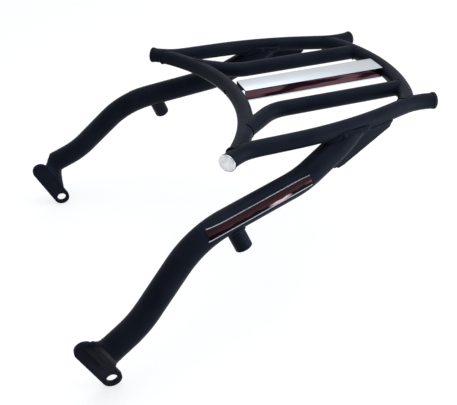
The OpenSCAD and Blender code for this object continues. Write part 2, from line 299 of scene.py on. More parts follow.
@dataclass(frozen=True)
class Finish:
    """A surface finish. Its material is made once and shared."""

    name: str
    slot: Slot

    def material(self) -> bpy.types.Material:
        """Makes the finish's material at the first call.

        Returns:
            The material.
        """
        found = bpy.data.materials.get(self.name)
        if found is None:
            found = bpy.data.materials.new(self.name)
            self.draw(FinishGraph(found))
        return found

    def draw(self, graph: FinishGraph) -> None:
        """Builds the finish's nodes."""
        raise NotImplementedError


@dataclass(frozen=True)
class PowderCoat(Finish):
    """Baked powder coat: fine grain over a slow orange peel, with faint shifts of shade and gloss."""

    dark: Colour = (0.0075, 0.0093, 0.0165)
    light: Colour = (0.0115, 0.0140, 0.0235)
    matt: float = 0.50
    glossy: float = 0.38
    specular: float = 0.05
    sheen: Colour = (0.66, 0.80, 1.0)
    grain_scale: float = 1500.0
    peel_scale: float = 330.0
    shade_scale: float = 28.0
    grain_depth: float = 0.000035
    peel_depth: float = 0.000060

    def draw(self, graph: FinishGraph) -> None:
        """Builds the coat.

        Args:
            graph: the finish's nodes.
        """
        grain = graph.noise(graph.place, self.grain_scale, 2.0)
        peel = graph.noise(graph.place, self.peel_scale, 1.0)
        shade = graph.noise(graph.place, self.shade_scale, 3.0)
        colour = graph.ramp(shade, [(0.35, self.dark), (0.65, self.light)])
        graph.dress(colour, graph.spread(peel, self.glossy, self.matt))
        graph.bump([(peel, self.peel_depth), (grain, self.grain_depth)])
        graph.set(Specular_IOR_Level=self.specular)
        graph.shader.inputs["Specular Tint"].default_value = (*self.sheen, 1.0)


@dataclass(frozen=True)
class BrushedMetal(Finish):
    """Aluminium brushed in one direction: long hair lines in gloss, shade and relief."""

    dark: Colour = (0.54, 0.56, 0.60)
    light: Colour = (0.67, 0.69, 0.72)
    stretch: Point = (9.0, 900.0, 900.0)
    cloud_scale: float = 22.0
    fine: float = 0.26
    coarse: float = 0.44
    line_depth: float = 0.000012

    def draw(self, graph: FinishGraph) -> None:
        """Builds the brushed metal.

        Args:
            graph: the finish's nodes.
        """
        lines = graph.noise(graph.stretched(self.stretch), 1.0, 4.0)
        cloud = graph.noise(graph.place, self.cloud_scale, 2.0)
        colour = graph.ramp(lines, [(0.3, self.dark), (0.7, self.light)])
        graph.dress(colour, graph.spread(cloud, self.fine, self.coarse))
        graph.bump([(lines, self.line_depth)])
        graph.set(Metallic=1.0)


@dataclass(frozen=True)
class TurnedMetal(Finish):
    """Aluminium off a lathe. Its rings are in the mesh, and the shader adds tool chatter."""

    dark: Colour = (0.62, 0.63, 0.64)
    light: Colour = (0.82, 0.83, 0.84)
    chatter_scale: float = 700.0
    cloud_scale: float = 160.0
    fine: float = 0.28
    coarse: float = 0.42
    chatter_depth: float = 0.000008

    def draw(self, graph: FinishGraph) -> None:
        """Builds the turned metal.

        Args:
            graph: the finish's nodes.
        """
        chatter = graph.noise(graph.place, self.chatter_scale, 3.0)
        cloud = graph.noise(graph.place, self.cloud_scale, 2.0)
        colour = graph.ramp(cloud, [(0.3, self.dark), (0.7, self.light)])
        graph.dress(colour, graph.spread(chatter, self.fine, self.coarse))
        graph.bump([(chatter, self.chatter_depth)])
        graph.set(Metallic=1.0)


@dataclass(frozen=True)
class TintedMirror(Finish):
    """Mirror film with a plum tint, with painted reflections drawn out in long soft stripes of plum and
    near black, and fine scratches.
    """

    # The near black below is a painted dark reflection, not a colour of the film itself.
    dark_reflection_paint: Colour = (0.010, 0.004, 0.007)
    middle: Colour = (0.092, 0.043, 0.052)
    stretch: Point = (14.0, 130.0, 130.0)
    scratch_stretch: Point = (60.0, 2600.0, 2600.0)
    smooth: float = 0.10
    scratched: float = 0.22

    def draw(self, graph: FinishGraph) -> None:
        """Builds the tinted mirror.

        Args:
            graph: the finish's nodes.
        """
        scratches = graph.noise(graph.stretched(self.scratch_stretch), 1.0, 2.0)
        graph.dress(self.colour(graph), graph.spread(scratches, self.smooth, self.scratched))
        graph.set(Metallic=1.0)

    def colour(self, graph: FinishGraph) -> Socket:
        """The film's painted reflections: long stripes of plum and near black."""
        # Stretched noise paints reflections into the base colour, as stripes of near black and plum.
        painted_reflection_bands = graph.noise(graph.stretched(self.stretch), 1.0, 2.0)
        return graph.ramp(painted_reflection_bands, [(0.40, self.dark_reflection_paint), (0.48, self.middle), (1.0, self.middle)])


@dataclass(frozen=True)
class LabelFilm(TintedMirror):
    """The arm labels' film: plum above, a painted dark reflection along its lower edge, and one painted
    pale reflection streak.
    """

    # Colour of the painted pale reflection streak.
    pale_reflection_paint: Colour = (0.62, 0.42, 0.44)
    waver_scale: float = 120.0
    waver: float = 0.30

    def colour(self, graph: FinishGraph) -> Socket:
        """The painted dark band and the painted pale reflection, placed by how far round and along the arm
        a point lies.

        Args:
            graph: the finish's nodes.

        Returns:
            The colour.
        """
        waver = graph.noise(graph.place, self.waver_scale, 3.0)
        edge = graph.blend("ADD", graph.attribute("across"), graph.blend("MULTIPLY", waver, self.waver))
        along = graph.attribute("along")
        # Painted dark reflection band along the lower edge, below the plum field.
        field = graph.ramp(edge, [(0.50, self.dark_reflection_paint), (0.58, self.middle), (1.0, self.middle)])
        # The next two masks place the painted pale reflection, along and across the label.
        near = graph.ramp(along, [(0.56, BLACK), (0.63, WHITE), (0.74, WHITE), (0.80, BLACK)])
        low = graph.ramp(edge, [(0.18, BLACK), (0.24, WHITE), (0.42, WHITE), (0.50, BLACK)])
        # Lays the painted pale reflection over the film.
        return graph.mix(graph.blend("MULTIPLY", near, low), field, self.pale_reflection_paint)


@dataclass(frozen=True)
class SilverFoil(Finish):
    """Thin bright foil with a slight grain."""

    dark: Colour = (0.36, 0.39, 0.44)
    light: Colour = (0.50, 0.53, 0.58)
    grain_scale: float = 900.0
    fine: float = 0.30
    coarse: float = 0.45

    def draw(self, graph: FinishGraph) -> None:
        """Builds the foil.

        Args:
            graph: the finish's nodes.
        """
        grain = graph.noise(graph.place, self.grain_scale, 2.0)
        colour = graph.ramp(grain, [(0.3, self.dark), (0.7, self.light)])
        graph.dress(colour, graph.spread(grain, self.fine, self.coarse))
        graph.set(Metallic=1.0)


@dataclass(frozen=True)
class MouldedPlastic(Finish):
    """Black moulded plastic with a fine spark-eroded grain."""

    dark: Colour = (0.0035, 0.0038, 0.0050)
    light: Colour = (0.0060, 0.0065, 0.0085)
    grain_scale: float = 2400.0
    cloud_scale: float = 60.0
    fine: float = 0.55
    coarse: float = 0.70
    grain_depth: float = 0.00003
    specular: float = 0.25

    def draw(self, graph: FinishGraph) -> None:
        """Builds the plastic.

        Args:
            graph: the finish's nodes.
        """
        grain = graph.noise(graph.place, self.grain_scale, 2.0)
        cloud = graph.noise(graph.place, self.cloud_scale, 2.0)
        colour = graph.ramp(cloud, [(0.35, self.dark), (0.65, self.light)])
        graph.dress(colour, graph.spread(grain, self.fine, self.coarse))
        graph.bump([(grain, self.grain_depth)])
        graph.set(Specular_IOR_Level=self.specular)


POWDER_COAT = PowderCoat("black_powder_coat", Slot.POWDER)
BAR_METAL = BrushedMetal("brushed_aluminium", Slot.BRIGHT)
CAP_METAL = TurnedMetal("turned_aluminium_face", Slot.TURNED)
MIRROR_FILM = TintedMirror("plum_mirror_film_painted_reflections", Slot.MIRROR)
ARM_FILM = LabelFilm("plum_label_film_painted_reflections", Slot.MIRROR)
LINE_FOIL = SilverFoil("silver_line_foil", Slot.BRIGHT)
CAP_PLASTIC = MouldedPlastic("black_cap_plastic", Slot.POWDER)


def add_piece(
    name: str,
    vertices: Sequence[Point],
    faces: Sequence[Sequence[int]],
    finish: Finish,
    sharp: float | None = None,
) -> Object:
    """Makes a smooth mesh object that rides on the rack.

    Args:
        name: the piece's name.
        vertices: its points, in metres.
        faces: its faces, by vertex number.
        finish: its finish.
        sharp: the angle from which its edges stay sharp, if any does.

    Returns:
        The new object.
    """
    mesh = bpy.data.meshes.new(name)
    mesh.from_pydata(vertices, [], faces)
    mesh.update()
    return place_mesh(name, mesh, finish, sharp)


def place_mesh(name: str, mesh: Mesh, finish: Finish, sharp: float | None) -> Object:
    """Puts a finished mesh in the scene, riding on the rack.

    Args:
        name: the piece's name.
        mesh: its mesh, in metres.
        finish: its finish.
        sharp: the angle from which its edges stay sharp, if any does.

    Returns:
        The new object.
    """
    mesh.materials.clear()
    mesh.materials.append(finish.material())
    kept_normals = mesh.attributes.get("custom_normal")
    if kept_normals is not None:
        mesh.attributes.remove(kept_normals)
    mesh.shade_smooth()
    if sharp is not None:
        mesh.set_sharp_from_angle(angle=sharp)
    piece = bpy.data.objects.new(name, mesh)
    bpy.context.scene.collection.objects.link(piece)
    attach(piece, ROOT_BODY)
    LOG.info("piece %s: %d faces", name, len(mesh.polygons))
    return piece


def show_work(name: str, work: bmesh.types.BMesh, finish: Finish, sharp: float) -> Object:
    """Turns a worked mesh into a piece, and frees it.

    Args:
        name: the piece's name.
        work: its mesh.
        finish: its finish.
        sharp: the angle from which its edges stay sharp.

    Returns:
        The new object.
    """
    mesh = bpy.data.meshes.new(name)
    work.to_mesh(mesh)
    work.free()
    return place_mesh(name, mesh, finish, sharp)


def node_mesh(node: str) -> bmesh.types.BMesh:
    """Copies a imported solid's mesh, with its faces joined along their shared edges.

    Args:
        node: the solid.

    Returns:
        The copy.
    """
    work = bmesh.new()
    work.from_mesh(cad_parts[node].data)
    bmesh.ops.remove_doubles(work, verts=work.verts, dist=1e-6)
    return work


def sweep_solid(
    node: str, side: Side, cuts: Sequence[Vector], normal: Vector, move: Callable[[Vector], Vector]
) -> Object:
    """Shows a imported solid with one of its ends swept. Places are given for the left half.

    Args:
        node: the solid.
        side: the half that it belongs to.
        cuts: places where its long faces are cut, which keeps the sweep smooth.
        normal: the way that the cuts face.
        move: takes a point to its new place.

    Returns:
        The swept piece.
    """
    work = node_mesh(node)
    for place in cuts:
        everything = [*work.verts, *work.edges, *work.faces]
        bmesh.ops.bisect_plane(
            work, geom=everything, plane_co=side.flip(place), plane_no=side.flip(normal), dist=1e-6
        )
    for vertex in work.verts:
        vertex.co = side.flip(move(side.flip(vertex.co)))
    piece = show_work(f"{node}_swept", work, POWDER_COAT, SHARP_ANGLE)
    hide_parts(node)
    return piece


def paint(node: str, finish: Finish) -> None:
    """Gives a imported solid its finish.

    Args:
        node: the solid.
        finish: the finish.
    """
    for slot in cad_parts[node].material_slots:
        slot.material = finish.material()
    LOG.info("solid %s: %s", node, finish.name)


@dataclass
class RoundedPlate:
    """A plate or sheet part, shown with its sharp edges rounded."""

    node: str
    finish: Finish
    edge_radius: float
    hidden_finish: Finish | None = None
    sharp_angle: float = math.radians(35.0)
    flat_angle: float = math.radians(0.6)
    shown_angle: float = math.radians(50.0)
    facing: float = 0.7
    least_inward: float = 1e-4

    def build(self) -> Object:
        """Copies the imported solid, rounds its edges and shows the copy in its place.

        Returns:
            The rounded piece.
        """
        work = node_mesh(self.node)
        bmesh.ops.dissolve_limit(
            work, angle_limit=self.flat_angle, verts=work.verts, edges=work.edges, delimit={"NORMAL"}
        )
        sharp = [e for e in work.edges if e.is_manifold and e.calc_face_angle(0.0) > self.sharp_angle]
        bmesh.ops.bevel(
            work,
            geom=sharp,
            offset=self.edge_radius,
            offset_type="OFFSET",
            segments=3,
            profile=0.5,
            affect="EDGES",
            clamp_overlap=True,
        )
        piece = show_work(f"{self.node}_rounded", work, self.finish, self.shown_angle)
        if self.hidden_finish is not None:
            self.dress_inside(piece.data)
        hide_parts(self.node)
        return piece

    def dress_inside(self, mesh: Mesh) -> None:
        """Gives the sheet's inside and its cut ends the other finish.

        Args:
            mesh: the rounded piece's mesh.
        """
        mesh.materials.append(self.hidden_finish.material())
        low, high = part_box(self.node)
        middle = (low + high) / 2
        for face in mesh.polygons:
            inward = (middle.y - face.center.y) * face.normal.y > self.least_inward
            if inward or face.normal.z < -self.facing or abs(face.normal.x) > self.facing:
                face.material_index = 1


@dataclass
class WeldBead:
    """A weld bead, laid along the edge of the notch where one part meets another.

    A carry moves the bead with a solid that is shown swept.
    """

    part: str
    base: str
    radius: float
    reach: float = 0.3 * MM
    step: float = 0.45 * MM
    ripple: float = 0.10
    pitch: float = 2.3 * MM
    around: int = 10
    shortest: float = 4.0 * MM
    main_share: float = 0.8
    fewest: int = 6
    passes: int = 6
    sway: float = 0.06
    end_size: float = 0.15
    ceiling: float = CAD_BOX[1].z - 0.1 * MM
    carry: Callable[[Vector], Vector] | None = None

    def build(self, seed: int) -> list[Object]:
        """Finds the notch's edges and lays a bead along each.

        Args:
            seed: the number that fixes the bead's small unevenness.

        Returns:
            The beads.
        """
        chance = random.Random(seed)
        beads = []
        for number, (line, closed) in enumerate(self.seams()):
            vertices, faces = self.sweep(line, closed, chance)
            name = f"{self.part}_weld_to_{self.base}_{number + 1}"
            beads.append(add_piece(name, vertices, faces, POWDER_COAT))
        return beads

    def seams(self) -> list[tuple[np.ndarray, bool]]:
        """The outer edges of the part's notch that lie on the base part.

        Returns:
            Each line's points, and whether it closes.
        """
        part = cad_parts[self.part].data
        base = node_mesh(self.base)
        tree = BVHTree.FromBMesh(base)
        base.free()
        near: dict[tuple[int, int, int], Vector] = {}
        for vertex in part.vertices:
            found = tree.find_nearest(vertex.co, self.reach)
            if found[0] is not None:
                near[self.key(vertex.co)] = vertex.co.copy()
        links: dict[tuple, set] = {}
        for ends in self.border_edges(part):
            if ends[0] in near and ends[1] in near and ends[0] != ends[1]:
                links.setdefault(ends[0], set()).add(ends[1])
                links.setdefault(ends[1], set()).add(ends[0])
        lines = []
        while links:
            line, closed = self.walk(links)
            points = np.array([self.carry(near[k]) if self.carry else near[k] for k in line])
            length = float(np.linalg.norm(np.diff(points, axis=0), axis=1).sum())
            if length > self.shortest:
                lines.append((self.resample(points, closed), closed, length))
        longest = max((row[2] for row in lines), default=0.0)
        return [(points, closed) for points, closed, length in lines if length > self.main_share * longest]

    @staticmethod
    def key(point: Vector) -> tuple[int, int, int]:
        """A point's place on a grid of a hundredth of a millimetre."""
        return tuple(round(c * KEYS_A_METRE) for c in point)

    def border_edges(self, mesh: Mesh) -> list[tuple]:
        """The edges that bound the solid's faces.

        Args:
            mesh: the solid's mesh.

        Returns:
            Each edge as the keys of its ends.
        """
        work = bmesh.new()
        work.from_mesh(mesh)
        edges = [tuple(self.key(v.co) for v in e.verts) for e in work.edges if e.is_boundary]
        work.free()
        return edges

    @staticmethod
    def walk(links: dict[tuple, set]) -> tuple[list, bool]:
        """Takes one line of joined edges out of the links.

        Args:
            links: for each key, the keys that it joins. The line is taken out of it.

        Returns:
            The line's keys in order, and whether it closes.
        """
        start = next((k for k in links if len(links[k]) == 1), next(iter(links)))
        line = [start]
        while links.get(line[-1]):
            here = line[-1]
            ways = sorted(links[here])
            onward = ways[0]
            if len(line) > 1 and len(ways) > 1:
                back = np.subtract(here, line[-2], dtype=float)
                steps = {k: np.subtract(k, here, dtype=float) for k in ways}
                onward = max(ways, key=lambda k: back.dot(steps[k]) / (np.linalg.norm(steps[k]) + 1e-9))
            links[here].discard(onward)
            links[onward].discard(here)
            line.append(onward)
        for empty in [k for k in links if not links[k]]:
            del links[empty]
        return line, line[0] == line[-1] and len(line) > 3

    def resample(self, points: np.ndarray, closed: bool) -> np.ndarray:
        """Smooths a line and spaces its points evenly.

        Args:
            points: the line's points.
            closed: whether it closes on itself.

        Returns:
            The even points.
        """
        span = np.linalg.norm(np.diff(points, axis=0), axis=1)
        along = np.concatenate([[0.0], np.cumsum(span)])
        count = max(self.fewest, int(along[-1] / self.step))
        places = np.linspace(0.0, along[-1], count, endpoint=not closed)
        even = np.stack([np.interp(places, along, points[:, i]) for i in range(3)], axis=1)
        for _ in range(self.passes):
            if closed:
                even = (np.roll(even, 1, axis=0) + 2 * even + np.roll(even, -1, axis=0)) / 4
            else:
                even[1:-1] = (even[:-2] + 2 * even[1:-1] + even[2:]) / 4
        return even

    def sweep(
        self, line: np.ndarray, closed: bool, chance: random.Random
    ) -> tuple[list[Point], list[list[int]]]:
        """Draws a rippled round bead along a line.

        Args:
            line: its points.
            closed: whether it closes on itself.
            chance: the source of its unevenness.

        Returns:
            The bead's vertices and faces.
        """
        count = len(line)
        tangents = np.roll(line, -1, axis=0) - np.roll(line, 1, axis=0)
        if not closed:
            tangents[0] = line[1] - line[0]
            tangents[-1] = line[-1] - line[-2]
        tangents /= np.linalg.norm(tangents, axis=1)[:, None]
        side = np.cross(tangents[0], OFF_EVERY_SEAM)
        vertices: list[Point] = []
        phase = chance.random() * math.tau
        sway = [chance.uniform(-self.sway, self.sway) for _ in range(count)]
        for i in range(count):
            side = side - tangents[i] * float(np.dot(side, tangents[i]))
            side /= np.linalg.norm(side)
            up = np.cross(tangents[i], side)
            wave = (i * self.step / self.pitch + phase) % 1.0
            size = self.radius * (1.0 + self.ripple * (1.0 - 2.0 * wave) + sway[i])
            if not closed:
                from_end = min(i, count - 1 - i) * self.step / self.radius
                size *= math.sqrt(min(1.0, self.end_size + from_end * (1.0 - self.end_size)))
            for k in range(self.around):
                angle = math.tau * k / self.around
                x, y, z = line[i] + size * (math.cos(angle) * side + math.sin(angle) * up)
                vertices.append((x, y, min(z, self.ceiling)))
        return vertices, ring_faces(count, self.around, closed)


def ring_faces(rings: int, around: int, closed: bool) -> list[list[int]]:
    """The faces between a row of rings, with end faces where the row is open.

    Args:
        rings: how many rings there are.
        around: how many vertices each has.
        closed: whether the last ring joins the first.

    Returns:
        The faces, by vertex number.
    """
    faces = []
    for i in range(rings if closed else rings - 1):
        here, there = i * around, (i + 1) % rings * around
        for k in range(around):
            after = (k + 1) % around
            faces.append([here + k, here + after, there + after, there + k])
    if not closed:
        faces.append(list(range(around))[::-1])
        faces.append([(rings - 1) * around + k for k in range(around)])
    return faces


@dataclass
class ArmLine:
    """The left arm's middle straight and the bends at its ends, in rack millimetres."""

    seat: Point = (141.1, 0.0, 6.8)
    joint: Point = (146.0, -107.9, 0.0)
    turn: float = 9.3
    lean: float = 8.9
    foot: tuple = (-283.61, -144.28)
    foot_heading: float = 27.4
    middle: tuple = (-185.7, -62.2)
    upper: tuple = (-72.6, -39.0)
    middle_radius: float = 104.0
    middle_reach: float = 30.9
    upper_radius: float = 88.0
    upper_reach: float = 12.9
    tube_radius: float = 12.5

    def matrix(self) -> Matrix:
        """Takes the arm's plane to the part's frame.

        Returns:
            The matrix, from the plane's millimetres to the frame's metres.
        """
        plane = Matrix.Rotation(math.radians(self.turn), 4, "Z")
        plane @= Matrix.Rotation(math.radians(90.0 - self.lean), 4, "X")
        shift = Matrix.Translation(Vector(self.joint) - Vector(self.seat))
        return Matrix.Scale(MM, 4) @ shift @ plane

    def drift(self, along: float) -> float:
        """How far the tube's axis lies to the left of the straight's line.

        Args:
            along: distance beyond the middle bend's corner, in mm.

        Returns:
            The distance, in mm, which is zero on the straight itself.
        """
        length = (Vector(self.upper) - Vector(self.middle)).length
        before = max(0.0, self.middle_reach - along)
        after = max(0.0, along - (length - self.upper_reach))
        fall = self.middle_radius - math.sqrt(self.middle_radius**2 - before**2)
        rise = self.upper_radius - math.sqrt(self.upper_radius**2 - after**2)
        return rise - fall

    def surface(self, along: float, across: float, height: float) -> Vector:
        """A point over the arm's outer side.

        Args:
            along: distance beyond the middle bend's corner, in mm.
            across: distance to the left of the straight's line, seen square on to the arm's plane.
            height: height over the tube's surface.

        Returns:
            The point on the left arm, in metres.
        """
        middle = Vector(self.middle)
        way = (Vector(self.upper) - middle).normalized()
        left = Vector((-way.y, way.x))
        drift = self.drift(along)
        angle = math.acos((across - drift) / self.tube_radius)
        radius = self.tube_radius + height
        flat = middle + way * along + left * (drift + radius * math.cos(angle))
        return self.matrix() @ Vector((flat.x, flat.y, radius * math.sin(angle)))


@dataclass
class ArmTop:
    """The steeper last sweep of an arm, up into the side rail, in millimetres of the arm's plane."""

    side: Side
    arm: ArmLine
    length: float = 48.0
    turn: float = 19.0
    slice: float = 2.5
    first_cut: float = 0.2
    cuts_beyond: int = 4
    rail_height: float = -6.8
    bury: float = 1.5
    root_outline: tuple = ((-36.5, -36.2), (-16.0, -7.0), (31.0, -7.0), (20.0, -14.6))
    root_turn: float = 14.5
    root_faces: Span = (0.45, 5.15)
    root_rounding: float = 0.4 * MM

    def move(self, point: Vector) -> Vector:
        """Carries a point of the straight arm to where the sweep takes it.

        Args:
            point: a point of the left arm, in metres.

        Returns:
            Its new place.
        """
        matrix = self.arm.matrix()
        flat = matrix.inverted() @ point
        way = -Vector(self.arm.upper).normalized()
        left = Vector((-way.y, way.x))
        start = way * -self.length
        offset = Vector((flat.x, flat.y)) - start
        along, beside = offset.dot(way), offset.dot(left)
        if along <= 0.0:
            return point
        bend = math.radians(self.turn) / self.length
        radius = 1.0 / bend - beside
        angle = bend * along
        place = start + way * (radius * math.sin(angle)) + left * (1.0 / bend - radius * math.cos(angle))
        moved = matrix @ Vector((place.x, place.y, flat.z))
        top = max(point.z, (self.rail_height - self.bury) * MM)
        moved.z = min(moved.z, top)
        return moved

    def carry(self, point: Vector) -> Vector:
        """Does the same for a point of this side's own arm."""
        return self.side.flip(self.move(self.side.flip(point)))

    def build(self) -> Object:
        """Shows the arm with its upper end swept.

        Returns:
            The arm.
        """
        matrix = self.arm.matrix()
        way = -Vector(self.arm.upper).normalized()
        normal = (matrix.to_3x3() @ Vector((way.x, way.y, 0.0))).normalized()
        count = int(self.length / self.slice) + self.cuts_beyond
        flats = [way * (i * self.slice - self.length + self.first_cut) for i in range(count)]
        cuts = [matrix @ Vector((flat.x, flat.y, 0.0)) for flat in flats]
        piece = sweep_solid(f"{self.side.value}_arm", self.side, cuts, normal, self.move)
        self.build_root()
        return piece

    def build_root(self) -> Object:
        """The part of the gusset plate that the straight arm would hide.

        Returns:
            The plate.
        """
        seat = Matrix.Translation(Vector(self.arm.joint) - Vector(self.arm.seat))
        turn = Matrix.Rotation(math.radians(self.root_turn), 4, "Z")
        matrix = Matrix.Scale(MM, 4) @ seat @ turn @ Matrix.Rotation(math.radians(90.0), 4, "X")
        work = bmesh.new()
        near, far = (
            [work.verts.new(self.side.flip(matrix @ Vector((x, y, z)))) for x, y in self.root_outline]
            for z in self.root_faces
        )
        work.faces.new(near)
        work.faces.new(far)
        for k in range(len(near)):
            work.faces.new((near[k - 1], near[k], far[k], far[k - 1]))
        bmesh.ops.recalc_face_normals(work, faces=work.faces)
        bmesh.ops.bevel(
            work, geom=list(work.edges), offset=self.root_rounding, segments=2, profile=0.5, affect="EDGES"
        )
        return show_work(f"{self.side.value}_gusset_root", work, POWDER_COAT, SHARP_ANGLE)


@dataclass
class LabelField:
    """The film of an arm's label, with straight edges, in place of the plain solid."""

    side: Side
    arm: ArmLine
    start: float = 7.4
    end: float = 119.2
    low: float = -1.7
    high: float = 7.7
    height: float = 0.5
    sink: float = 0.1
    rows: int = 100
    columns: int = 12

    def build(self) -> Object:
        """Wraps the film round the arm.

        Returns:
            The film.
        """
        vertices, across, along = [], [], []
        top = [(k / self.columns, self.height) for k in range(self.columns + 1)]
        profile = [(0.0, -self.sink), *top, (1.0, -self.sink)]
        for i in range(self.rows + 1):
            place = i / self.rows
            for share, height in profile:
                point = self.arm.surface(
                    self.start + (self.end - self.start) * place,
                    self.low + (self.high - self.low) * share,
                    height,
                )
                vertices.append(tuple(self.side.flip(point)))
                across.append(share)
                along.append(place)
        faces = turned(ring_faces(self.rows + 1, len(profile), False), self.side)
        name = f"{self.side.value}_arm_label"
        piece = add_piece(f"{name}_film", vertices, faces, ARM_FILM, SHARP_ANGLE)
        for key, values in (("across", across), ("along", along)):
            piece.data.attributes.new(key, "FLOAT", "POINT").data.foreach_set("value", values)
        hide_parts(name)
        return piece


@dataclass
class LabelLine:
    """One thin silver line along an edge of an arm's label."""

    side: Side
    arm: ArmLine
    name: str
    across: float
    start: float
    end: float
    width: float
    height: float
    step: float = 1.0
    foot: float = 0.05
    rounding: float = 0.15
    flat_share: float = 0.6
    sharp_angle: float = math.radians(30.0)

    def build(self) -> Object:
        """Bends the line to the arm along the label's edge.

        Returns:
            The line.
        """
        half = self.width / 2
        shoulder = self.height - self.rounding
        rising = [(-half, self.foot), (-half, shoulder), (-half * self.flat_share, self.height)]
        profile = rising + [(-shift, height) for shift, height in reversed(rising)]
        rows = int((self.end - self.start) / self.step)
        vertices = []
        for i in range(rows + 1):
            along = self.start + (self.end - self.start) * i / rows
            for shift, height in profile:
                point = self.arm.surface(along, self.across + shift, height)
                vertices.append(tuple(self.side.flip(point)))
        faces = turned(ring_faces(rows + 1, len(profile), False), self.side)
        name = f"{self.side.value}_label_{self.name}_line"
        return add_piece(name, vertices, faces, LINE_FOIL, self.sharp_angle)


@dataclass
class LugSkirt:
    """The broad weld that spreads from an arm's closed end along the edge of its lug plate."""

    side: Side
    arm: ArmLine
    hole: Point = (-130.6, -164.2, -188.6)
    plate_tilt: float = 25.0
    plate_half_width: float = 9.6
    plate_half_sheet: float = 2.0
    foot_middle: float = 30.2
    foot_half_length: float = 19.6
    toe_half_length: float = 22.0
    leg: float = 3.2
    toe_drop: float = 8.5
    edge_lap: float = 0.8
    toe_sink: float = 0.2
    length_power: float = 0.8
    width_power: float = 0.5
    flare_power: float = 1.7
    arm_lap: float = 2.6
    lips: tuple = ((1.2, 0.03), (0.6, -0.045))
    flare_rows: int = 12
    toe_rows: int = 6
    around: int = 56
    seed: int = 7
    roughness: float = 0.15
    ripple: float = 0.22
    ripple_step: float = 1.7
    ripple_sway: float = 0.9
    ripple_lobes: int = 5

    def rings(self) -> list[list[Vector]]:
        """The skirt's cross-sections, from inside the arm's end to the toe on the plate.

        Returns:
            Rings of points on the left side, in rack millimetres.
        """
        arm = self.arm
        matrix = Matrix.Scale(1 / MM, 4) @ arm.matrix()
        matrix = Matrix.Translation(Vector(arm.seat)) @ matrix
        heading = math.radians(arm.foot_heading)
        centre = matrix @ Vector((*arm.foot, 0.0))
        out = (matrix.to_3x3() @ Vector((-math.cos(heading), -math.sin(heading), 0.0))).normalized()
        tilt = math.radians(self.plate_tilt)
        up = Vector((-math.sin(tilt), 0.0, math.cos(tilt)))
        rear = Vector((math.cos(tilt), 0.0, math.sin(tilt)))
        across = Vector((0.0, 1.0, 0.0))
        tall = (up - out * up.dot(out)).normalized()
        wide = tall.cross(out).normalized()
        if wide.dot(across) < 0:
            wide = -wide
        start, edge, toe = [], [], []
        for k in range(self.around):
            angle = math.tau * k / self.around
            c, s = math.cos(angle), math.sin(angle)
            start.append(centre - out * self.arm_lap + (tall * c + wide * s) * arm.tube_radius)
            long_c = math.copysign(abs(c) ** self.length_power, c)
            foot = Vector(self.hole) + up * (self.foot_middle + self.foot_half_length * long_c)
            foot += rear * (self.plate_half_width + self.edge_lap)
            width = self.plate_half_sheet + self.leg * abs(s) ** self.width_power
            edge.append(foot + across * math.copysign(width, s))
            foot = Vector(self.hole) + up * (self.foot_middle + self.toe_half_length * long_c)
            foot += rear * (self.plate_half_width - self.toe_drop)
            toe.append(foot + across * math.copysign(self.plate_half_sheet - self.toe_sink, s))
        rows = [[p - out * depth + (centre - p) * inset for p in start] for depth, inset in self.lips]
        for i in range(1, self.flare_rows + 1):
            share = i / self.flare_rows
            rows.append([self.flare(a, b, out, share) for a, b in zip(start, edge)])
        for i in range(1, self.toe_rows + 1):
            rows.append([a.lerp(b, i / self.toe_rows) for a, b in zip(edge, toe)])
        return rows

    def flare(self, start: Vector, end: Vector, out: Vector, share: float) -> Vector:
        """A point of the hollow sweep from the arm's end to the plate.

        Args:
            start: the point on the arm's end.
            end: the point at the plate's edge.
            out: the arm's direction at its end.
            share: how far along the sweep the point lies, from 0 to 1.

        Returns:
            The point.
        """
        reach = (end - start).dot(out)
        aside = (end - start) - out * reach
        return start + out * (reach * share) + aside * share**self.flare_power

    def build(self) -> Object:
        """Sweeps the skirt and shows it in place of the plain collar.

        Returns:
            The skirt.
        """
        chance = random.Random(self.seed)
        vertices = []
        rows = self.rings()
        for i, row in enumerate(rows):
            middle = sum(row, Vector()) / len(row)
            for k, point in enumerate(row):
                sway = self.ripple_sway * math.sin(k * math.tau / self.around * self.ripple_lobes)
                rough = self.ripple * math.sin(self.ripple_step * i + sway)
                rough += chance.uniform(-self.roughness, self.roughness)
                moved = point + (point - middle).normalized() * rough * (1 < i < len(rows) - 1)
                vertices.append(tuple(self.side.flip((moved - Vector(self.arm.seat)) * MM)))
        faces = turned(ring_faces(len(rows), self.around, False), self.side)
        piece = add_piece(f"{self.side.value}_lug_weld", vertices, faces, POWDER_COAT)
        smooth = piece.modifiers.new("settle", "SUBSURF")
        smooth.levels = 1
        smooth.render_levels = 1
        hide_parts(f"{self.side.value}_arm_collar")
        return piece


def turned(faces: list[list[int]], side: Side) -> list[list[int]]:
    """The faces, turned over for the mirrored half."""
    return [face[::-1] for face in faces] if side is Side.RIGHT else faces


